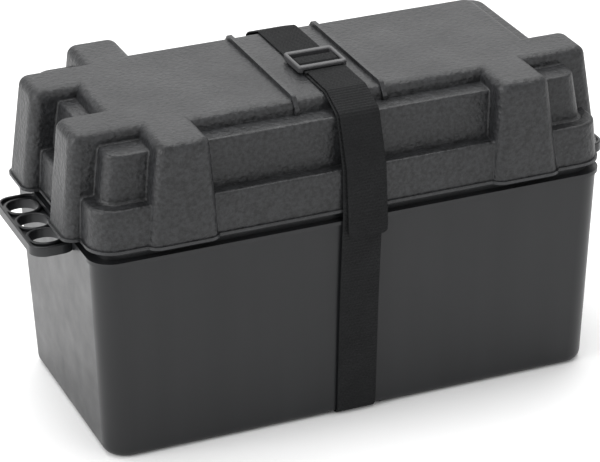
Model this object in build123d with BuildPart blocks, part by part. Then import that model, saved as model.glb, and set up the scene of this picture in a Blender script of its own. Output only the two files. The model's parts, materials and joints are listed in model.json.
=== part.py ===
from build123d import *
import os

# Leisure battery in a strapped two-piece box. Millimetres, +Z up.
# Origin: centre of the box's footprint, on the surface that the box stands on.
# +X runs along the box's length, -Y is the front, where the strap's free end hangs.

# Box base
base_length = 400.0
base_width = 190.6
rim_length = 412.0
rim_width = 206.0
rim_height = 168.0
corner_radius = 18.0
foot_fillet = 7.0
wall = 3.0
floor_thickness = 7.0
rim_lip = 1.5
rim_lip_height = 3.0
upstand_height = 204.4
upstand_length = 399.0
upstand_width = 196.0
upstand_wall = 2.4
channel_width = 44.0
channel_depth = 3.2

# Carrying handles moulded on the base's ends
handle_reach = 30.5
handle_root = 4.0
handle_width = 98.0
handle_corner = 12.0
handle_bottom = 156.5
handle_thickness = 5.0
handle_rim_width = 2.6
handle_rim_height = 2.6
handle_edge = 0.8
grip_hole_length = 23.0
grip_hole_width = 23.6
grip_hole_corner = 10.5
grip_hole_pitch = 28.0
grip_hole_reach = 14.5

# Box lid: two stepped levels under a flat crown
lid_bottom = 175.1
lower_step = 208.2
upper_step = 245.5
lid_top = 255.8
lower_foot = (412.6, 206.8)
lower_head = (408.0, 204.4)
upper_foot = (388.0, 182.0)
upper_head = (377.0, 178.0)
crown_middle_foot = (300.0, 142.4)
crown_middle_head = (300.0, 140.0)
crown_corner_reach = 60.0
lower_radius = 20.0
upper_radius = 13.0
crown_end_foot = 175.0
crown_end_head = 172.0
crown_radius = 9.0
bead = 1.3
bead_height = 2.4
step_fillet = 2.5
corner_fillet = 1.5
crown_fillet = 7.5

# Full-height towers that stand out of the lid's sides, as (inner, outer) distances
bulge_x_head = (115.5, 155.7)
bulge_x_foot = (110.6, 165.9)
bulge_y_head = 108.6
bulge_y_foot = 109.0
horn_x_head = 208.0
horn_x_foot = 218.2
horn_y_head = (24.3, 65.8)
horn_y_foot = (26.0, 70.5)
tower_radius = 9.0

# Strap guides on the crown
guide_x = 35.3
guide_width = 3.5
guide_height = 3.0
guide_half_length = 66.0
guide_foot_y = 74.0

# Webbing strap
strap_width = 32.0
strap_thickness = 1.6
strap_x = 5.0
strap_floor_gap = 0.4
strap_corner_y = 97.8
strap_crown_y = 67.0
strap_crown_z = lid_top + 0.3 + strap_thickness / 2
strap_split_y = 88.0
layer_pitch = strap_thickness + 0.3
tail_end_z = 155.0

# Buckle
buckle_x = 5.0
buckle_y = -11.0
buckle_length = 40.0
buckle_depth = 34.0
buckle_bar = 5.0
buckle_side = 3.2
buckle_bottom = strap_crown_z + strap_thickness / 2
buckle_top = buckle_bottom + 4.9
front_bar_bottom = strap_crown_z + layer_pitch + strap_thickness / 2 + 0.3
clamp_y = -10.0
clamp_depth = 8.0
clamp_bottom = buckle_bottom + 0.3
clamp_top = clamp_bottom + 2.0
clamp_length = 31.0
tooth_count = 14
tooth_width = 1.1

# Battery
battery_bottom = floor_thickness + 0.3
battery_length = 330.0
battery_width = 170.0
case_top = 194.0
case_wall = 3.4
case_floor = 8.0
cell_count = 6
partition = 2.0
cover_top = 219.0
cover_wall = 3.0
cover_plate = 4.0
vent_hole_radius = 11.5
vent_collar_radius = 15.5
vent_stem_radius = 10.8
vent_head_radius = 14.5
vent_head_height = 6.0
vent_stem_length = 14.0
seal_radius = 1.0

# Plates and their lead
plate_height = 124.0
plate_width = 146.0
plate_rest = battery_bottom + case_floor
positive_plate = 2.6
negative_plate = 2.0
separator = 1.2
positive_count = 6
lug_width = 14.0
lug_height = 10.0
lug_y = 45.0
bridge_height = 9.0
bridge_width = 16.0
link_radius = 5.0

# Terminals
post_radius = 8.0
post_top = 229.0
terminal_x = 137.5
stud_radius = 3.9
stud_top = 247.0
washer_radius = 9.0
washer_thickness = 1.6
nut_radius = 7.0
nut_height = 7.0
nut_bore = 4.2
wing_span = 13.0
wing_height = 12.0
wing_thickness = 2.4

# Battery carry handles
bail_pivot_x = 169.5
bail_pivot_z = 184.0
bail_arm = 22.0
bail_bar_radius = 3.0
bail_half_width = 38.0
bail_eye_radius = 4.0
bail_bore = 2.7
bail_arm_width = 5.0
peg_radius = 2.4
ear_width = 6.0
ear_gap = 0.5

os.makedirs("parts", exist_ok=True)

def finish_piece(piece, name):
    """Label one finished piece and write it as its own file."""
    piece.label = name
    export_step(piece, f"parts/{name}.step")

def rounded_loft(low_z, high_z, low, high, radius, low_at=(0, 0), high_at=(0, 0), mode=Mode.ADD):
    """Tapered block with rounded corners between two heights."""
    with BuildSketch(Plane.XY.offset(low_z)) as bottom:
        with Locations(low_at):
            RectangleRounded(low[0], low[1], radius)
    with BuildSketch(Plane.XY.offset(high_z)) as top:
        with Locations(high_at):
            RectangleRounded(high[0], high[1], radius)
    loft([bottom.sketch, top.sketch], mode=mode)

def shrunk(size, amount):
    """Rectangle size with the same amount taken off every side."""
    return (size[0] - 2 * amount, size[1] - 2 * amount)

# ---------------------------------------------------------------- box base
foot = (base_length, base_width)
rim = (rim_length, rim_width)
upstand = (upstand_length, upstand_width)

with BuildPart() as box_base:
    rounded_loft(0, rim_height, foot, rim, corner_radius)
    fillet(box_base.faces().sort_by(Axis.Z)[0].edges(), foot_fillet)
    rounded_loft(
        rim_height - rim_lip_height,
        rim_height,
        shrunk(rim, -rim_lip),
        shrunk(rim, -rim_lip),
        corner_radius + rim_lip,
    )
    rounded_loft(rim_height, upstand_height, upstand, upstand, corner_radius - 2)
    rounded_loft(
        floor_thickness,
        rim_height - wall,
        shrunk(foot, wall + 0.5),
        shrunk(rim, wall),
        corner_radius - wall,
        mode=Mode.SUBTRACT,
    )
    rounded_loft(
        rim_height - wall,
        upstand_height,
        shrunk(upstand, upstand_wall),
        shrunk(upstand, upstand_wall),
        corner_radius - 2 - upstand_wall,
        mode=Mode.SUBTRACT,
    )
    with BuildSketch(Plane.XY):
        Rectangle(channel_width, base_width + 2 * corner_radius)
    extrude(amount=channel_depth, mode=Mode.SUBTRACT)

finish_piece(box_base.part, "box_base")


# ---------------------------------------------------------------- carrying handles of the base
def box_handle(side, word):
    """Plate on one end of the base with a raised rim and three collared finger holes."""
    plate = (handle_reach + handle_root, handle_width)
    plate_x = side * (rim_length / 2 + (handle_reach - handle_root) / 2)
    holes_x = side * (rim_length / 2 + grip_hole_reach)
    rim_bottom = handle_bottom + handle_thickness
    hole = (grip_hole_length, grip_hole_width)
    collar = shrunk(hole, -handle_rim_width)
    with BuildPart() as handle:
        with BuildSketch(Plane.XY.offset(handle_bottom)):
            with Locations((plate_x, 0)):
                RectangleRounded(*plate, handle_corner)
        extrude(amount=handle_thickness)
        with BuildSketch(Plane.XY.offset(rim_bottom)):
            with Locations((plate_x, 0)):
                RectangleRounded(*plate, handle_corner)
                RectangleRounded(
                    *shrunk(plate, handle_rim_width),
                    handle_corner - handle_rim_width,
                    mode=Mode.SUBTRACT,
                )
            with Locations((holes_x, 0)):
                with GridLocations(0, grip_hole_pitch, 1, 3):
                    RectangleRounded(*collar, grip_hole_corner + handle_rim_width)
        extrude(amount=handle_rim_height)
        with BuildSketch(Plane.XY.offset(handle_bottom)):
            with Locations((holes_x, 0)):
                with GridLocations(0, grip_hole_pitch, 1, 3):
                    RectangleRounded(*hole, grip_hole_corner)
        extrude(amount=handle_thickness + handle_rim_height, mode=Mode.SUBTRACT)
        rounded_loft(0, rim_height, foot, rim, corner_radius, mode=Mode.SUBTRACT)
        fillet(handle.faces().sort_by(Axis.Z)[-1].edges(), handle_edge)
    finish_piece(handle.part, f"box_handle_{word}")


box_handle(-1, "left")
box_handle(1, "right")

# ---------------------------------------------------------------- box lid
bulge_places = ((-1, -1), (1, -1), (-1, 1))
horn_places = ((-1, -1), (-1, 1), (1, -1))

def span(pair):
    """Length and middle of a stretch between two distances."""
    return (pair[1] - pair[0], (pair[0] + pair[1]) / 2)

def towers(low_z, high_z, inset, mode):
    """Bulges on the long sides and horns on the ends, each from the crown down to the lid's edge."""
    reach = 60.0
    for sx, sy in bulge_places:
        head_width, head_x = span(bulge_x_head)
        foot_width, foot_x = span(bulge_x_foot)
        rounded_loft(
            low_z,
            high_z,
            shrunk((foot_width, reach), inset),
            shrunk((head_width, reach), inset),
            tower_radius - inset,
            (sx * foot_x, sy * (bulge_y_foot - reach / 2)),
            (sx * head_x, sy * (bulge_y_head - reach / 2)),
            mode,
        )
    for sx, sy in horn_places:
        head_width, head_y = span(horn_y_head)
        foot_width, foot_y = span(horn_y_foot)
        rounded_loft(
            low_z,
            high_z,
            shrunk((reach, foot_width), inset),
            shrunk((reach, head_width), inset),
            tower_radius - inset,
            (sx * (horn_x_foot - reach / 2), sy * foot_y),
            (sx * (horn_x_head - reach / 2), sy * head_y),
            mode,
        )

def crown(inset, drop, mode):
    """Crown in three blocks: between the bulges, between the horns, and the one bare corner."""
    rise = (upper_step - lid_bottom) / (lid_top - lid_bottom)
    side_foot = horn_y_foot[1] + rise * (horn_y_head[1] - horn_y_foot[1])
    ends_foot = (2 * crown_end_foot, 2 * side_foot)
    ends_head = (2 * crown_end_head, 2 * horn_y_head[1])
    reach = crown_corner_reach
    corner = (reach, reach)
    corner_foot = (crown_end_foot - reach / 2, (crown_middle_foot[1] - reach) / 2)
    corner_head = (crown_end_head - reach / 2, (crown_middle_head[1] - reach) / 2)
    blocks = (
        (crown_middle_foot, crown_middle_head, (0, 0), (0, 0)),
        (ends_foot, ends_head, (0, 0), (0, 0)),
        (corner, corner, corner_foot, corner_head),
    )
    for low, high, low_at, high_at in blocks:
        rounded_loft(upper_step - drop, lid_top - drop, shrunk(low, inset), shrunk(high, inset),
                     crown_radius - inset / 2, low_at, high_at, mode)

def lid_levels(inset, drop, mode):
    """The lid's two steps and its crown, shrunk on every side and lowered at the top."""
    rounded_loft(lid_bottom, lower_step - drop, shrunk(lower_foot, inset),
                 shrunk(lower_head, inset), lower_radius - inset, mode=mode)
    rounded_loft(lower_step - drop, upper_step - drop, shrunk(upper_foot, inset),
                 shrunk(upper_head, inset), upper_radius - inset, mode=mode)
    crown(inset, drop, mode)

def on_a_step(edge):
    """Whether an edge is part of the outline of one of the lid's two steps."""
    centre = edge.center()
    levels = ((lower_step, lower_head, lower_radius), (upper_step, upper_head, upper_radius))
    for height, size, radius in levels:
        box = edge.bounding_box()
        level = abs(box.min.Z - height) < 0.02 and abs(box.max.Z - height) < 0.02
        off_x = size[0] / 2 - abs(centre.X)
        off_y = size[1] / 2 - abs(centre.Y)
        if level and (abs(off_x) < 1 or abs(off_y) < 1 or max(off_x, off_y) < radius):
            return True
    return False


with BuildPart() as box_lid:
    lid_levels(0, 0, Mode.ADD)
    towers(lid_bottom, lid_top, 0, Mode.ADD)
    crown_edges = box_lid.faces().sort_by(Axis.Z)[-1].edges()
    fillet(crown_edges, crown_fillet)
    step_edges = box_lid.edges().filter_by(on_a_step)
    fillet(step_edges, step_fillet)
    upright_edges = box_lid.edges().filter_by(lambda edge: edge.bounding_box().size.Z > 9)
    fillet(upright_edges, corner_fillet)
    with BuildSketch(Plane.XY.offset(lid_bottom)):
        RectangleRounded(*lower_foot, lower_radius)
        reach = 60.0
        for sx, sy in bulge_places:
            width, middle = span(bulge_x_foot)
            with Locations((sx * middle, sy * (bulge_y_foot - reach / 2))):
                RectangleRounded(width, reach, tower_radius)
        for sx, sy in horn_places:
            width, middle = span(horn_y_foot)
            with Locations((sx * (horn_x_foot - reach / 2), sy * middle)):
                RectangleRounded(reach, width, tower_radius)
        offset(amount=bead)
    extrude(amount=bead_height)
    for side in (-1, 1):
        with BuildSketch(Plane.YZ.offset(side * guide_x)):
            with BuildLine():
                FilletPolyline(
                    (-guide_foot_y, upper_step - 4),
                    (-guide_foot_y, upper_step + 4),
                    (-guide_half_length, lid_top + guide_height),
                    (guide_half_length, lid_top + guide_height),
                    (guide_foot_y, upper_step + 4),
                    (guide_foot_y, upper_step - 4),
                    radius=4,
                )
                Line((guide_foot_y, upper_step - 4), (-guide_foot_y, upper_step - 4))
            make_face()
        extrude(amount=guide_width / 2, both=True)
    lid_levels(wall, wall, Mode.SUBTRACT)
    towers(lid_bottom, lid_top - wall, wall, Mode.SUBTRACT)

finish_piece(box_lid.part, "box_lid")

# ---------------------------------------------------------------- webbing strap
def strap_profile(points, radii):
    """Webbing section along a route given in the plane across the box."""
    with BuildSketch(Plane.YZ.offset(strap_x)) as section:
        with BuildLine() as route:
            FilletPolyline(*points, radius=radii)
        trace(route.line, line_width=strap_thickness)
    extrude(section.sketch, amount=strap_width / 2, both=True)

strap_z = strap_floor_gap + strap_thickness / 2
side_route = (
    (strap_split_y, strap_z),
    (strap_corner_y, strap_z),
    (106.6, lid_bottom + 0.4),
    (104.2, lower_step + 1.3),
    (91.2, upper_step + 1.7),
    (strap_crown_y, strap_crown_z),
)
side_radii = [6.5, 15, 10, 8]

def mirrored(points, sign):
    """The route on the front (-1) or the back (+1) of the box."""
    return [(sign * y, z) for y, z in points]

with BuildPart() as strap_bottom:
    with BuildSketch(Plane.YZ.offset(strap_x)):
        with Locations((0, strap_z)):
            Rectangle(2 * strap_split_y, strap_thickness)
    extrude(amount=strap_width / 2, both=True)

with BuildPart() as strap_front:
    strap_profile(mirrored(side_route, -1), side_radii)

with BuildPart() as strap_back:
    strap_profile(mirrored(side_route, 1), side_radii)

finish_piece(strap_bottom.part, "strap_bottom")
finish_piece(strap_front.part, "strap_front")
finish_piece(strap_back.part, "strap_back")

tail_route = (
    (-strap_crown_y - 0.6, strap_crown_z + layer_pitch),
    (-92.6, upper_step + 3.4),
    (-106.2, lower_step + 1.9),
    (-108.8, lid_bottom + 0.6),
    (-109.8, tail_end_z),
)
with BuildPart() as strap_tail:
    strap_profile(tail_route, [8, 12, 15])
    tip = strap_tail.faces().sort_by(Axis.Z)[0].edges().sort_by(SortBy.LENGTH)[:2]
    fillet(tip, 4)

finish_piece(strap_tail.part, "strap_tail")

loop_top = clamp_top + 0.4 + strap_thickness / 2
top_route = (
    (-strap_crown_y + 0.3, strap_crown_z),
    (clamp_y + clamp_depth / 2 + 2.2, strap_crown_z),
    (clamp_y + clamp_depth / 2 + 2.2, loop_top),
    (clamp_y - clamp_depth / 2, loop_top),
    (clamp_y - clamp_depth / 2 - 4, strap_crown_z + layer_pitch),
    (-strap_crown_y + 0.3, strap_crown_z + layer_pitch),
)
with BuildPart() as strap_front_top:
    strap_profile(top_route, [1.9, 1.9, 2, 2])

with BuildPart() as strap_back_top:
    with BuildSketch(Plane.YZ.offset(strap_x)):
        with Locations(((strap_crown_y + 1) / 2, strap_crown_z)):
            Rectangle(strap_crown_y - 1.6, strap_thickness)
    extrude(amount=strap_width / 2, both=True)

finish_piece(strap_front_top.part, "strap_front_top")
finish_piece(strap_back_top.part, "strap_back_top")

# ---------------------------------------------------------------- buckle
with BuildPart() as buckle_frame:
    with BuildSketch(Plane.XY.offset(buckle_bottom)):
        with Locations((buckle_x, buckle_y)):
            RectangleRounded(buckle_length, buckle_depth, 4)
            Rectangle(buckle_length - 2 * buckle_side, buckle_depth - 2 * buckle_bar, mode=Mode.SUBTRACT)
    extrude(amount=buckle_top - buckle_bottom)
    chamfer(buckle_frame.faces().sort_by(Axis.Z)[-1].edges(), 0.8)
    with BuildSketch(Plane.XY.offset(buckle_bottom)):
        with Locations((strap_x, buckle_y - buckle_depth / 2 + buckle_bar / 2)):
            Rectangle(strap_width + 0.8, buckle_bar + 2)
    extrude(amount=front_bar_bottom - buckle_bottom, mode=Mode.SUBTRACT)

finish_piece(buckle_frame.part, "buckle_frame")

with BuildPart() as buckle_clamp_bar:
    with BuildSketch(Plane.XY.offset(clamp_bottom)):
        with Locations((buckle_x, clamp_y)):
            Rectangle(clamp_length, clamp_depth - 2)
        with Locations((buckle_x, clamp_y - clamp_depth / 2 + 1)):
            with GridLocations(clamp_length / tooth_count, 0, tooth_count, 1):
                Rectangle(tooth_width, 2)
    extrude(amount=clamp_top - clamp_bottom)

finish_piece(buckle_clamp_bar.part, "buckle_clamp_bar")

# ---------------------------------------------------------------- battery case and cover
inner_length = battery_length - 2 * case_wall
cell_length = (inner_length - (cell_count - 1) * partition) / cell_count
cell_pitch = cell_length + partition
cell_centres = [(-inner_length / 2 + cell_length / 2) + i * cell_pitch for i in range(cell_count)]
bridge_z = plate_rest + plate_height + lug_height
link_z = bridge_z + bridge_height / 2

with BuildPart() as battery_case:
    with BuildSketch(Plane.XY.offset(battery_bottom)):
        RectangleRounded(battery_length, battery_width, 5)
    extrude(amount=case_top - battery_bottom)
    with BuildSketch(Plane.XY.offset(battery_bottom + case_floor)):
        for centre in cell_centres:
            with Locations((centre, 0)):
                Rectangle(cell_length, battery_width - 2 * case_wall)
    extrude(amount=case_top - battery_bottom - case_floor, mode=Mode.SUBTRACT)
    for i in range(cell_count - 1):
        wall_x = (cell_centres[i] + cell_centres[i + 1]) / 2
        link_y = lug_y if i % 2 else -lug_y
        with BuildSketch(Plane.YZ.offset(wall_x)):
            with Locations((link_y, link_z)):
                Circle(link_radius)
        extrude(amount=partition, both=True, mode=Mode.SUBTRACT)
    for side in (-1, 1):
        for hand in (-1, 1):
            ear_y = hand * (bail_half_width + bail_arm_width / 2 + ear_gap + ear_width / 2)
            ear_reach = bail_pivot_x + bail_eye_radius - battery_length / 2
            with BuildSketch(Plane.XZ.offset(-ear_y)):
                with Locations((side * (battery_length / 2 + ear_reach / 2 - 0.5), bail_pivot_z)):
                    Rectangle(ear_reach + 1, 2 * bail_eye_radius)
            extrude(amount=ear_width / 2, both=True)
            with BuildSketch(Plane.XZ.offset(-hand * (bail_half_width + 0.5))):
                with Locations((side * bail_pivot_x, bail_pivot_z)):
                    Circle(peg_radius)
            extrude(amount=bail_arm_width / 2 + 1.5, both=True)

finish_piece(battery_case.part, "battery_case")

with BuildPart() as battery_cover:
    with BuildSketch(Plane.XY.offset(case_top)):
        RectangleRounded(battery_length, battery_width, 5)
    extrude(amount=cover_top - case_top - 3)
    with BuildSketch(Plane.XY.offset(cover_top - 3)):
        RectangleRounded(battery_length - 14, battery_width - 14, 5)
    extrude(amount=3)
    with BuildSketch(Plane.XY.offset(case_top)):
        RectangleRounded(battery_length - 2 * cover_wall, battery_width - 2 * cover_wall, 3)
    extrude(amount=cover_top - case_top - 3 - cover_plate, mode=Mode.SUBTRACT)
    with BuildSketch(Plane.XY.offset(cover_top - vent_stem_length)):
        for centre in cell_centres:
            with Locations((centre, 0)):
                Circle(vent_collar_radius)
    extrude(amount=vent_stem_length)
    with BuildSketch(Plane.XY.offset(cover_top)):
        for centre in cell_centres:
            with Locations((centre, 0)):
                Circle(vent_hole_radius)
    extrude(amount=-vent_stem_length, mode=Mode.SUBTRACT)
    with BuildSketch(Plane.XY.offset(cover_top)):
        for side in (-1, 1):
            with Locations((side * terminal_x, lug_y)):
                Circle(post_radius + 0.1)
    extrude(amount=-(cover_top - case_top), mode=Mode.SUBTRACT)

finish_piece(battery_cover.part, "battery_cover")

# ---------------------------------------------------------------- vent caps and their seals
def vent_cap(centre, number):
    """One screw-in cell cap with a cross grip, and the seal ring under its head."""
    head_bottom = cover_top + 2 * seal_radius + 0.1
    with BuildPart() as cap:
        with BuildSketch(Plane.XY.offset(head_bottom)):
            with Locations((centre, 0)):
                Circle(vent_head_radius)
        extrude(amount=vent_head_height)
        with BuildSketch(Plane.XY.offset(head_bottom + vent_head_height)):
            with Locations((centre, 0)):
                SlotOverall(2 * vent_head_radius - 6, 5)
        extrude(amount=2)
        with BuildSketch(Plane.XY.offset(head_bottom)):
            with Locations((centre, 0)):
                Circle(vent_stem_radius)
        extrude(amount=-vent_stem_length)
        with BuildSketch(Plane.XY.offset(head_bottom - vent_stem_length)):
            with Locations((centre, 0)):
                Circle(vent_stem_radius - 2)
        extrude(amount=vent_stem_length, mode=Mode.SUBTRACT)
    finish_piece(cap.part, f"vent_cap_{number}")
    with BuildPart() as seal:
        with BuildSketch(Plane.XY.offset(cover_top + 0.1)):
            with Locations((centre, 0)):
                Circle(vent_head_radius - 0.5)
                Circle(vent_hole_radius + 0.2, mode=Mode.SUBTRACT)
        extrude(amount=2 * seal_radius)
    finish_piece(seal.part, f"vent_seal_{number}")

for number, centre in enumerate(cell_centres, start=1):
    vent_cap(centre, number)

# ---------------------------------------------------------------- plates, separators and lead
negative_count = positive_count + 1
stack = positive_count * positive_plate + negative_count * negative_plate
stack += 2 * positive_count * separator

def plate_group(name, centre, xs, thickness, lug_side, lug):
    """The plates of one polarity in one cell, each with its lug."""
    with BuildPart() as group:
        for x in xs:
            with BuildSketch(Plane.YZ.offset(centre + x)):
                with Locations((0, plate_rest + plate_height / 2)):
                    Rectangle(plate_width, plate_height)
                if lug:
                    with Locations((lug_side * lug_y, plate_rest + plate_height + lug_height / 2)):
                        Rectangle(lug_width, lug_height)
            extrude(amount=thickness / 2, both=True)
    finish_piece(group.part, name)

pair_pitch = positive_plate + negative_plate + 2 * separator
first_negative = -stack / 2 + negative_plate / 2
negative_xs = [first_negative + i * pair_pitch for i in range(negative_count)]
positive_xs = [x + pair_pitch / 2 for x in negative_xs[:-1]]
separator_xs = []
for x in positive_xs:
    separator_xs += [x - (positive_plate + separator) / 2, x + (positive_plate + separator) / 2]

for i, centre in enumerate(cell_centres):
    positive_side = 1 if i % 2 == 0 else -1
    number = i + 1
    plate_group(f"positive_plates_{number}", centre, positive_xs, positive_plate, positive_side, True)
    plate_group(f"negative_plates_{number}", centre, negative_xs, negative_plate, -positive_side, True)
    plate_group(f"separators_{number}", centre, separator_xs, separator, 0, False)

def lead_bridges(name, sides):
    """The cast bars that join the lugs of one polarity, one in each cell."""
    with BuildPart() as bridges:
        for centre, hand in zip(cell_centres, sides):
            with BuildSketch(Plane.XY.offset(bridge_z)):
                with Locations((centre, hand * lug_y)):
                    Rectangle(cell_length - 1, bridge_width)
            extrude(amount=bridge_height)
    finish_piece(bridges.part, name)

positive_sides = [1 if i % 2 == 0 else -1 for i in range(cell_count)]
lead_bridges("positive_bridges", positive_sides)
lead_bridges("negative_bridges", [-hand for hand in positive_sides])

with BuildPart() as cell_links:
    for i in range(cell_count - 1):
        wall_x = (cell_centres[i] + cell_centres[i + 1]) / 2
        with BuildSketch(Plane.YZ.offset(wall_x)):
            with Locations((lug_y if i % 2 else -lug_y, link_z)):
                Circle(link_radius - 0.05)
        extrude(amount=partition / 2 + 0.5, both=True)

finish_piece(cell_links.part, "cell_links")

# ---------------------------------------------------------------- terminals
def terminal(side, word):
    """Lead post with its steel stud, washer and wing nut."""
    at = (side * terminal_x, lug_y)
    with BuildPart() as post:
        with BuildSketch(Plane.XY.offset(bridge_z + bridge_height)):
            with Locations(at):
                Circle(post_radius)
        extrude(amount=post_top - bridge_z - bridge_height)
        with BuildSketch(Plane.XY.offset(post_top)):
            with Locations(at):
                Circle(stud_radius)
        extrude(amount=-12, mode=Mode.SUBTRACT)
    finish_piece(post.part, f"{word}_post")
    with BuildPart() as stud:
        with BuildSketch(Plane.XY.offset(post_top - 12)):
            with Locations(at):
                Circle(stud_radius)
        extrude(amount=stud_top - post_top + 12)
        chamfer(stud.edges().filter_by(GeomType.CIRCLE).sort_by(Axis.Z)[-1], 0.6)
    finish_piece(stud.part, f"{word}_stud")
    with BuildPart() as washer:
        with BuildSketch(Plane.XY.offset(post_top)):
            with Locations(at):
                Circle(washer_radius)
                Circle(nut_bore, mode=Mode.SUBTRACT)
        extrude(amount=washer_thickness)
    finish_piece(washer.part, f"{word}_washer")
    with BuildPart() as nut:
        with BuildSketch(Plane.XY.offset(post_top + washer_thickness + 0.1)):
            with Locations(at):
                Circle(nut_radius)
        extrude(amount=nut_height)
        for hand in (-1, 1):
            with BuildSketch(Plane.XZ.offset(-lug_y)):
                with Locations((at[0] + hand * wing_span / 2 + hand * 3, post_top + 8.5)):
                    SlotOverall(wing_height, 7, rotation=hand * 60)
            extrude(amount=wing_thickness / 2, both=True)
        with BuildSketch(Plane.XY.offset(post_top)):
            with Locations(at):
                Circle(nut_bore)
        extrude(amount=30, mode=Mode.SUBTRACT)
    finish_piece(nut.part, f"{word}_wing_nut")

terminal(-1, "positive")
terminal(1, "negative")

# ---------------------------------------------------------------- battery carry handles
def carry_handle(side, word):
    """Hinged bail at one end of the battery, hanging down against the case."""
    x = side * bail_pivot_x
    with BuildPart() as bail:
        for hand in (-1, 1):
            with BuildSketch(Plane.XZ.offset(-hand * bail_half_width)):
                with Locations((x, bail_pivot_z)):
                    Circle(bail_eye_radius)
                with Locations((x, bail_pivot_z - bail_arm / 2)):
                    Rectangle(2 * bail_bar_radius, bail_arm)
                with Locations((x, bail_pivot_z - bail_arm)):
                    Circle(bail_bar_radius)
                with Locations((x, bail_pivot_z)):
                    Circle(bail_bore, mode=Mode.SUBTRACT)
            extrude(amount=bail_arm_width / 2, both=True)
        with BuildSketch(Plane.XZ):
            with Locations((x, bail_pivot_z - bail_arm)):
                Circle(bail_bar_radius)
        extrude(amount=bail_half_width, both=True)
    finish_piece(bail.part, f"battery_handle_{word}")

carry_handle(-1, "left")
carry_handle(1, "right")
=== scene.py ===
"""Looks for the strapped battery box: webbing, plastics, lead and steel, studio, camera."""
import json
import math

import bpy
from mathutils import Matrix, Vector

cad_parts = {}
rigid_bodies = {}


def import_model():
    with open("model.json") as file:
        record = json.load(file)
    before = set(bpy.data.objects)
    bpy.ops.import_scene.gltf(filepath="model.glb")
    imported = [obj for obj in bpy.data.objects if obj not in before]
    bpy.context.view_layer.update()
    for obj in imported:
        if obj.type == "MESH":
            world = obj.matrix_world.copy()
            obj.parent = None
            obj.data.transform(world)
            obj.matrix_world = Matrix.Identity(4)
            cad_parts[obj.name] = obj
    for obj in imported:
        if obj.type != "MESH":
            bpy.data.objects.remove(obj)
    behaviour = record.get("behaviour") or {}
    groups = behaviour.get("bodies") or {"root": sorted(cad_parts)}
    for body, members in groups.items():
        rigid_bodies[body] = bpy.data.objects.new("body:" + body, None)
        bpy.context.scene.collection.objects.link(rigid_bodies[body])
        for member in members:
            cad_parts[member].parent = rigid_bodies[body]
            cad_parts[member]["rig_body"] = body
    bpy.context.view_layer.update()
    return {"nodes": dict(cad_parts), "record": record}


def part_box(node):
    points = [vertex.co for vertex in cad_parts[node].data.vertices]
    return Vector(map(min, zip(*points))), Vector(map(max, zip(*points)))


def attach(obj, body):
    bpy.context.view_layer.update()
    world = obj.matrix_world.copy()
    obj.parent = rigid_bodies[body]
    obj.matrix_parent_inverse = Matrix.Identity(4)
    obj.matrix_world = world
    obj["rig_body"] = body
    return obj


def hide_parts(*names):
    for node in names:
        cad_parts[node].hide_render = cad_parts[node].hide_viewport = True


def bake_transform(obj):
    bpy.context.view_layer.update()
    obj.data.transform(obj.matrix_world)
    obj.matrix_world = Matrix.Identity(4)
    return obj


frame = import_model()
nodes = frame["nodes"]
MM = 0.001


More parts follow.
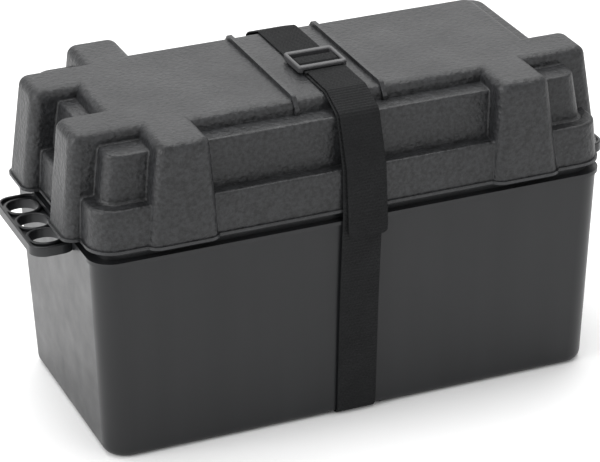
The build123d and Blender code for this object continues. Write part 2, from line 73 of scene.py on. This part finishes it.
# ---------------------------------------------------------------- node helpers
class Surface:
    """One procedural material, built up around a Principled shader."""

    def __init__(self, name):
        self.material = bpy.data.materials.new(name)
        self.material.use_nodes = True
        self.tree = self.material.node_tree
        self.shader = self.tree.nodes["Principled BSDF"]
        self.place = self.tree.nodes.new("ShaderNodeTexCoord").outputs["Object"]
        self.normal = None

    def link(self, source, target):
        self.tree.links.new(source, target)

    def set(self, **values):
        for key, value in values.items():
            self.shader.inputs[key.replace("_", " ")].default_value = value

    def stretched(self, scale):
        mapping = self.tree.nodes.new("ShaderNodeMapping")
        mapping.inputs["Scale"].default_value = scale
        self.link(self.place, mapping.inputs["Vector"])
        return mapping.outputs["Vector"]

    def noise(self, scale, detail=2.0, rough=0.5, stretch=None):
        node = self.tree.nodes.new("ShaderNodeTexNoise")
        node.inputs["Scale"].default_value = scale
        node.inputs["Detail"].default_value = detail
        node.inputs["Roughness"].default_value = rough
        self.link(self.stretched(stretch) if stretch else self.place, node.inputs["Vector"])
        return node.outputs["Fac"]

    def cells(self, scale):
        node = self.tree.nodes.new("ShaderNodeTexVoronoi")
        node.inputs["Scale"].default_value = scale
        self.link(self.place, node.inputs["Vector"])
        return node.outputs["Distance"]

    def ramp(self, factor, stops):
        node = self.tree.nodes.new("ShaderNodeValToRGB")
        ramp = node.color_ramp
        while len(ramp.elements) < len(stops):
            ramp.elements.new(0.5)
        for element, (position, colour) in zip(ramp.elements, stops):
            element.position = position
            channels = colour if hasattr(colour, "__len__") else (colour,) * 3
            element.color = (*channels, 1)
        self.link(factor, node.inputs["Fac"])
        return node.outputs["Color"]

    def mix(self, factor, first, second, blend="MIX"):
        node = self.tree.nodes.new("ShaderNodeMix")
        node.data_type = "RGBA"
        node.blend_type = blend
        if hasattr(factor, "node"):
            self.link(factor, node.inputs[0])
        else:
            node.inputs[0].default_value = factor
        self.link(first, node.inputs[6])
        self.link(second, node.inputs[7])
        return node.outputs[2]

    def bump(self, height, distance, strength=1.0):
        node = self.tree.nodes.new("ShaderNodeBump")
        node.inputs["Strength"].default_value = strength
        node.inputs["Distance"].default_value = distance
        self.link(height, node.inputs["Height"])
        if self.normal:
            self.link(self.normal, node.inputs["Normal"])
        self.normal = node.outputs["Normal"]
        self.link(self.normal, self.shader.inputs["Normal"])

    def colour(self, socket):
        self.link(socket, self.shader.inputs["Base Color"])

    def roughness(self, socket):
        self.link(socket, self.shader.inputs["Roughness"])

    def painted_edge_highlight(self, colour, light):
        """Painted highlight: lightens the colour a little where the surface bends sharply outwards, in
        place of light caught on the edges.
        """
        geometry = self.tree.nodes.new("ShaderNodeNewGeometry")
        edge = self.ramp(geometry.outputs["Pointiness"], [(0.52, 0.0), (0.60, 1.0)])
        pale = self.ramp(self.noise(60, 3), [(0.35, colour_of(light, 0.6)), (0.7, light)])
        to_value = self.tree.nodes.new("ShaderNodeRGBToBW")
        self.link(edge, to_value.inputs["Color"])
        return self.mix(to_value.outputs["Val"], colour, pale)


def colour_of(colour, factor):
    return tuple(channel * factor for channel in colour)


# ---------------------------------------------------------------- materials
def grained_plastic(name, colour, roughness, grain, depth, speckle, gloss=0.5):
    """Moulded polypropylene: fine raised grain, speckled tone and faint flow marks."""
    s = Surface(name)
    tone = s.ramp(s.noise(7, 3), [(0.3, colour_of(colour, 0.86)), (0.7, colour_of(colour, 1.14))])
    low, high = 1 - speckle, 1 + speckle
    fleck = s.ramp(s.noise(grain * 0.8, 3, 0.6), [(0.36, (low,) * 3), (0.64, (high,) * 3)])
    # painted highlight: sharp outward edges are lightened in the colour
    s.colour(s.painted_edge_highlight(s.mix(1.0, tone, fleck, "MULTIPLY"), colour_of(colour, 1.8)))
    rough = s.ramp(s.noise(24, 4), [(0.3, (roughness - 0.05,) * 3), (0.7, (roughness + 0.05,) * 3)])
    s.roughness(rough)
    s.bump(s.noise(grain, 2, 0.55), depth)
    s.bump(s.cells(grain * 0.55), depth * 0.7)
    s.set(Specular_IOR_Level=gloss)
    return s.material


def smooth_plastic(name, colour, roughness, streak=0.0, gloss=0.5):
    """Semi-gloss moulded plastic with slight unevenness and, if asked, upright drag marks."""
    s = Surface(name)
    tone = s.ramp(s.noise(5, 3), [(0.3, colour_of(colour, 0.88)), (0.7, colour_of(colour, 1.12))])
    if streak:
        low, high = 1 - streak, 1 + streak
        drag = s.ramp(s.noise(60, 3, 0.5, (1, 1, 0.03)), [(0.3, (low,) * 3), (0.7, (high,) * 3)])
        tone = s.mix(1.0, tone, drag, "MULTIPLY")
    # painted highlight: sharp outward edges are lightened in the colour
    s.colour(s.painted_edge_highlight(tone, colour_of(colour, 1.8)))
    smooth, rough = roughness - 0.06, roughness + 0.06
    s.roughness(s.ramp(s.noise(40, 5, 0.6), [(0.25, (smooth,) * 3), (0.75, (rough,) * 3)]))
    s.bump(s.noise(14, 2), 0.00035)
    s.bump(s.noise(1600, 2), 0.00003)
    s.set(Specular_IOR_Level=gloss)
    return s.material


def webbing_fabric(name, colour):
    """Woven strap yarn: fine fibres, dusty sheen, uneven dye."""
    s = Surface(name)
    fibre = s.noise(2600, 3, 0.6, (0.35, 1, 1))
    tone = s.ramp(fibre, [(0.3, colour_of(colour, 0.5)), (0.72, colour_of(colour, 2.0))])
    dye = s.ramp(s.noise(45, 4), [(0.3, (0.85,) * 3), (0.7, (1.2,) * 3)])
    s.colour(s.mix(1.0, tone, dye, "MULTIPLY"))
    s.roughness(s.ramp(s.noise(900, 2), [(0.3, (0.62,) * 3), (0.7, (0.85,) * 3)]))
    s.bump(fibre, 0.00012)
    s.set(Specular_IOR_Level=0.16)
    return s.material


def cast_metal(name, colour, roughness, metallic, grain=500):
    """Dull or plated metal with a fine cast or rolled surface."""
    s = Surface(name)
    dull, bright = colour_of(colour, 0.7), colour_of(colour, 1.15)
    s.colour(s.ramp(s.noise(130, 5, 0.6), [(0.3, dull), (0.7, bright)]))
    smooth, rough = roughness - 0.08, roughness + 0.1
    s.roughness(s.ramp(s.noise(300, 3), [(0.3, (smooth,) * 3), (0.7, (rough,) * 3)]))
    s.bump(s.noise(grain, 3), 0.0001)
    s.set(Metallic=metallic)
    return s.material


def pasted_plate(name, colour):
    """Lead grid filled with paste: a lattice that shows through a matt crust."""
    s = Surface(name)
    grid = s.tree.nodes.new("ShaderNodeTexBrick")
    grid.inputs["Scale"].default_value = 90
    grid.inputs["Mortar Size"].default_value = 0.06
    grid.inputs["Color1"].default_value = (*colour_of(colour, 0.9), 1)
    grid.inputs["Color2"].default_value = (*colour_of(colour, 1.1), 1)
    grid.inputs["Mortar"].default_value = (0.3, 0.31, 0.32, 1)
    swizzle = s.tree.nodes.new("ShaderNodeMapping")
    swizzle.inputs["Rotation"].default_value = (math.pi / 2, 0, math.pi / 2)
    s.link(s.place, swizzle.inputs["Vector"])
    s.link(swizzle.outputs["Vector"], grid.inputs["Vector"])
    crust = s.ramp(s.noise(400, 4), [(0.3, (0.75,) * 3), (0.7, (1.25,) * 3)])
    s.colour(s.mix(1.0, grid.outputs["Color"], crust, "MULTIPLY"))
    s.bump(s.noise(700, 3), 0.0002)
    s.set(Roughness=0.85)
    return s.material


materials = {
    "box_plastic": smooth_plastic("base plastic", (0.0105, 0.011, 0.012), 0.34, 0.10, 0.32),
    "lid_plastic": grained_plastic("lid plastic", (0.0155, 0.016, 0.0172), 0.42, 430, 0.00045, 0.50, 0.36),
    "webbing": webbing_fabric("strap webbing", (0.0062, 0.0065, 0.0069)),
    "buckle": grained_plastic("buckle", (0.040, 0.040, 0.042), 0.36, 1400, 0.00006, 0.25),
    "case_plastic": smooth_plastic("battery case plastic", (0.20, 0.21, 0.22), 0.42, 0.05),
    "cap_plastic": smooth_plastic("vent cap plastic", (0.42, 0.025, 0.02), 0.30),
    "seal_rubber": grained_plastic("seal rubber", (0.02, 0.02, 0.02), 0.75, 1500, 0.00005, 0.2),
    "positive_plate": pasted_plate("positive plate", (0.16, 0.075, 0.045)),
    "negative_plate": pasted_plate("negative plate", (0.26, 0.27, 0.28)),
    "separator": grained_plastic("separator", (0.72, 0.71, 0.66), 0.8, 1200, 0.00008, 0.08),
    "lead": cast_metal("cast lead", (0.36, 0.37, 0.39), 0.5, 0.85),
    "steel": cast_metal("plated steel", (0.62, 0.62, 0.60), 0.28, 1.0, 1200),
    "handle_plastic": smooth_plastic("battery handle plastic", (0.03, 0.03, 0.03), 0.45),
}


def dress(piece, slot):
    piece.data.materials.clear()
    piece.data.materials.append(materials[slot])


for entry in frame["record"]["subparts"]:
    dress(nodes[entry["node"]], entry["material_slot"])


def shade_by_angle(piece, degrees):
    """Smooth shading that stays crisp across sharp edges."""
    mesh = piece.data
    mesh.shade_smooth()
    mesh.set_sharp_from_angle(angle=math.radians(degrees))


# ---------------------------------------------------------------- webbing strap
HALF_WIDTH = 16.0
HALF_THICK = 0.8
WEFT_PITCH = 2.6
WARP_PITCH = 1.5
WEAVE_DEPTH = 0.30
STEP_ALONG = 0.42
STEP_ACROSS = 0.62
SELVEDGE = 0.9
THINNEST = 0.12
SIDE_RADII = [6.5, 15, 10, 8, 10]
LOOP_RADII = [1.9, 1.9, 2, 2]
TAIL_RADII = [8, 8, 12, 15]
TIP_RADIUS = 5.0


def rounded_route(points, radii):
    """Evenly spaced points along straight runs joined by arcs, in the plane across the box."""
    points = [Vector(p) for p in points]
    dense = [points[0]]
    for before, corner, after, radius in zip(points, points[1:], points[2:], radii):
        to_before = (before - corner).normalized()
        to_after = (after - corner).normalized()
        half = to_before.angle(to_after) / 2
        reach = radius / math.tan(half)
        centre = corner + (to_before + to_after).normalized() * (radius / math.sin(half))
        start = corner + to_before * reach - centre
        end = corner + to_after * reach - centre
        turn = start.angle_signed(end)
        count = max(4, int(abs(turn) * radius / STEP_ALONG))
        for i in range(count + 1):
            angle = -turn * i / count
            c, s = math.cos(angle), math.sin(angle)
            dense.append(centre + Vector((start.x * c - start.y * s, start.x * s + start.y * c)))
    dense.append(points[-1])
    return resampled(dense)


def resampled(dense):
    lengths = [0.0]
    for a, b in zip(dense, dense[1:]):
        lengths.append(lengths[-1] + (b - a).length)
    count = int(lengths[-1] / STEP_ALONG)
    even, k = [], 0
    for i in range(count + 1):
        target = lengths[-1] * i / count
        while k < len(lengths) - 2 and lengths[k + 1] < target:
            k += 1
        stretch = lengths[k + 1] - lengths[k]
        share = (target - lengths[k]) / stretch if stretch else 0
        even.append(dense[k].lerp(dense[k + 1], share))
    return even


def strap_section():
    """Offsets round the strap's section as (across, thickness share); webbing() rounds the selvedges where
    it builds the mesh.
    """
    count = int(2 * HALF_WIDTH / STEP_ACROSS)
    across = [-HALF_WIDTH + 2 * HALF_WIDTH * i / count for i in range(count + 1)]
    face = [(x, 1.0) for x in across]
    back = [(x, -1.0) for x in reversed(across)]
    return face + back


def weave_height(along, across):
    """Plain weave: weft ribs that dip and rise as they cross the warp, flat at the selvedges."""
    rib = math.cos(2 * math.pi * along / WEFT_PITCH)
    warp = math.cos(math.pi * across / WARP_PITCH + math.pi * math.floor(along / WEFT_PITCH))
    fade = min(1.0, (HALF_WIDTH - abs(across)) / 1.2)
    return WEAVE_DEPTH * (0.65 * rib + 0.35 * warp) * fade


def webbing(name, route, centre_line, closed_tip=None):
    """Woven strap mesh along (y, z) points; centre_line gives the strap's x at each share."""
    section = strap_section()
    ring = len(section)
    verts, faces = [], []
    count = len(route)
    step = (route[1] - route[0]).length
    for i, point in enumerate(route):
        ahead = route[min(i + 1, count - 1)] - route[max(i - 1, 0)]
        normal = Vector((-ahead.y, ahead.x)).normalized()
        along = i * step
        middle = centre_line(i / (count - 1))
        for across, side in section:
            edge = (HALF_WIDTH - abs(across)) / SELVEDGE
            thick = HALF_THICK * (math.sqrt(max(0.0, 1 - (1 - edge) ** 2)) if edge < 1 else 1.0)
            height = side * (max(thick, THINNEST) + (weave_height(along, across) - WEAVE_DEPTH) * 0.8)
            x = middle + across
            tip = closed_tip(i * step, (count - 1) * step, across) if closed_tip else 0.0
            p = point + normal * height - ahead.normalized() * tip
            verts.append((x * MM, p.x * MM, p.y * MM))
    for i in range(count - 1):
        for j in range(ring):
            a, b = i * ring + j, i * ring + (j + 1) % ring
            faces.append((a, b, b + ring, a + ring))
    half = ring // 2
    for base in (0, (count - 1) * ring):
        for j in range(half - 1):
            quad = (base + j, base + ring - 1 - j, base + ring - 2 - j, base + j + 1)
            faces.append(quad if base == 0 else quad[::-1])
    mesh = bpy.data.meshes.new(name)
    mesh.from_pydata(verts, [], faces)
    mesh.validate()
    mesh.update()
    mesh.shade_smooth()
    piece = bpy.data.objects.new(name, mesh)
    bpy.context.scene.collection.objects.link(piece)
    piece.data.materials.append(materials["webbing"])
    return piece


LID_BOTTOM, LOWER_STEP, UPPER_STEP = 175.1, 208.2, 245.5
STRAP_Z = 1.2
CROWN_Y = 67.0
crown_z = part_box("strap_back_top")[0].z / MM + HALF_THICK
LAYER = 1.9
side_points = [
    (0.0, STRAP_Z),
    (97.8, STRAP_Z),
    (106.6, LID_BOTTOM + 0.4),
    (104.2, LOWER_STEP + 1.3),
    (91.2, UPPER_STEP + 1.7),
    (CROWN_Y, crown_z),
]
SPLIT_Z = 100.0


def split_side(sign, beyond, radii):
    """The route on one side of the box, cut in two part of the way up."""
    points = [(sign * y, z) for y, z in side_points] + beyond
    whole = rounded_route(points, radii)
    cut = next(i for i, p in enumerate(whole) if p.y > SPLIT_Z)
    return whole[: cut + 1], whole[cut:]


def skew(low, high):
    return lambda share: low + (high - low) * share


CLAMP_TRAVEL = 2.8
clamp_low, clamp_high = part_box("buckle_clamp_bar")
loop_y = clamp_high.y / MM + 2.2
loop_top = clamp_high.z / MM + 0.4 + HALF_THICK
front_beyond = [
    (loop_y, crown_z),
    (loop_y, loop_top),
    (clamp_low.y / MM - CLAMP_TRAVEL, loop_top),
    (clamp_low.y / MM - CLAMP_TRAVEL - 4, crown_z + LAYER),
    (-32.0, crown_z + LAYER),
]
front_lower, front_upper = split_side(-1, front_beyond, SIDE_RADII + LOOP_RADII)
back_lower, back_upper = split_side(1, [(1.6, crown_z)], SIDE_RADII)

piece = webbing("webbing_front_lower", front_lower, skew(-2.0, 0.5))
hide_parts("strap_bottom")
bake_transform(piece)

piece = webbing("webbing_front_upper", front_upper, lambda t: 0.5 + 4.5 * min(1.0, t / 0.65))
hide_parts("strap_front", "strap_front_top")
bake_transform(piece)

piece = webbing("webbing_back_lower", back_lower, skew(-2.0, 1.5))
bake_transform(piece)

piece = webbing("webbing_back_upper", back_upper, lambda t: 1.5 + 3.5 * min(1.0, t / 0.7))
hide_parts("strap_back", "strap_back_top")
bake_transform(piece)

tail_points = [
    (-29.0, crown_z + LAYER),
    (-CROWN_Y - 0.6, crown_z + LAYER),
    (-92.6, UPPER_STEP + 3.4),
    (-106.2, LOWER_STEP + 1.9),
    (-108.8, LID_BOTTOM + 0.6),
    (-109.8, 155.0),
]


def cut_corners(along, total, across):
    """How far a point is drawn back so that the strap's end has rounded corners."""
    radius = TIP_RADIUS
    beyond = abs(across) - (HALF_WIDTH - radius)
    left = total - along
    if beyond <= 0 or left > radius:
        return 0.0
    return (radius - math.sqrt(max(0.0, radius**2 - beyond**2))) * (1 - left / radius)


tail = rounded_route(tail_points, TAIL_RADII)
piece = webbing("webbing_tail", tail, skew(6.5, 5.5), cut_corners)
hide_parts("strap_tail")
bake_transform(piece)


# ---------------------------------------------------------------- softened small mouldings
def softened(node, voxel, passes, slot):
    """A copy of a CAD piece with its edges eased all round, as a moulding has them."""
    piece = bpy.data.objects.new(node + "_shape", nodes[node].data.copy())
    bpy.context.scene.collection.objects.link(piece)
    remesh = piece.modifiers.new("voxels", "REMESH")
    remesh.mode = "VOXEL"
    remesh.voxel_size = voxel * MM
    smooth = piece.modifiers.new("ease", "SMOOTH")
    smooth.factor = 0.5
    smooth.iterations = passes
    graph = bpy.context.evaluated_depsgraph_get()
    mesh = bpy.data.meshes.new_from_object(piece.evaluated_get(graph))
    piece.modifiers.clear()
    piece.data = mesh
    mesh.shade_smooth()
    dress(piece, slot)
    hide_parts(node)
    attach(piece, nodes[node]["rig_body"])
    return piece


softened("buckle_frame", 0.35, 5, "buckle")
clamp = softened("buckle_clamp_bar", 0.3, 2, "buckle")
clamp_colour = (0.012, 0.012, 0.013)
clamp.data.materials[0] = grained_plastic("clamp bar", clamp_colour, 0.45, 1400, 0.00006, 0.25)
for word in ("left", "right"):
    softened(f"battery_handle_{word}", 0.6, 4, "handle_plastic")
for word in ("positive", "negative"):
    softened(f"{word}_wing_nut", 0.3, 3, "steel")
for number in range(1, 7):
    softened(f"vent_cap_{number}", 0.5, 3, "cap_plastic")

for node in nodes.values():
    if not node.hide_render:
        shade_by_angle(node, 32)


# ---------------------------------------------------------------- studio
def studio_floor():
    size = 60.0
    mesh = bpy.data.meshes.new("floor")
    corners = [(-size, -size, 0), (size, -size, 0), (size, size, 0), (-size, size, 0)]
    mesh.from_pydata(corners, [], [(0, 1, 2, 3)])
    floor = bpy.data.objects.new("floor", mesh)
    bpy.context.scene.collection.objects.link(floor)
    s = Surface("pale floor")
    s.set(Base_Color=(0.9, 0.9, 0.9, 1), Roughness=0.7)
    floor.data.materials.append(s.material)


def area_light(name, place, aim, size, power):
    light = bpy.data.lights.new(name, "AREA")
    light.shape = "RECTANGLE"
    light.size, light.size_y = size
    light.energy = power
    lamp = bpy.data.objects.new(name, light)
    lamp.location = place
    lamp.visible_camera = False
    lamp.rotation_euler = (Vector(aim) - Vector(place)).to_track_quat("-Z", "Y").to_euler()
    bpy.context.scene.collection.objects.link(lamp)


studio_floor()
LIGHTS = (
    ("top softbox", (0.1, 0.5, 2.4), (0, 0, 0.2), (2.4, 1.8), 48),
    ("left softbox", (-2.6, -0.3, 1.2), (0, 0, 0.15), (1.6, 1.6), 45),
    ("front fill", (1.2, -3.0, 1.2), (0, 0, 0.1), (2.0, 1.2), 8),
    ("rear softbox", (1.2, 2.9, 1.9), (0, 0, 0.2), (3.0, 1.6), 14),
)
for light in LIGHTS:
    area_light(*light)
world = bpy.data.worlds.new("studio")
world.use_nodes = True
world.node_tree.nodes["Background"].inputs["Color"].default_value = (1, 1, 1, 1)
world.node_tree.nodes["Background"].inputs["Strength"].default_value = 0.9
bpy.context.scene.world = world
bpy.context.scene.view_settings.view_transform = "Standard"


def photo_camera():
    """Long lens from the front left and above, held nearly level."""
    azimuth, elevation, roll = math.radians(21.93), math.radians(25.66), math.radians(-1.01)
    place = Vector((-0.7789, -1.9214, 1.1076))
    ahead = Vector((
        math.sin(azimuth) * math.cos(elevation),
        math.cos(azimuth) * math.cos(elevation),
        -math.sin(elevation),
    ))
    level = ahead.to_track_quat("-Z", "Y")
    data = bpy.data.cameras.new("camera")
    data.sensor_width = 36
    data.lens = 176.2
    data.clip_end = 200
    camera = bpy.data.objects.new("camera", data)
    turn = level.to_matrix() @ Matrix.Rotation(roll, 3, "Z")
    camera.matrix_world = Matrix.Translation(place) @ turn.to_4x4()
    bpy.context.scene.collection.objects.link(camera)
    bpy.context.scene.camera = camera


photo_camera()
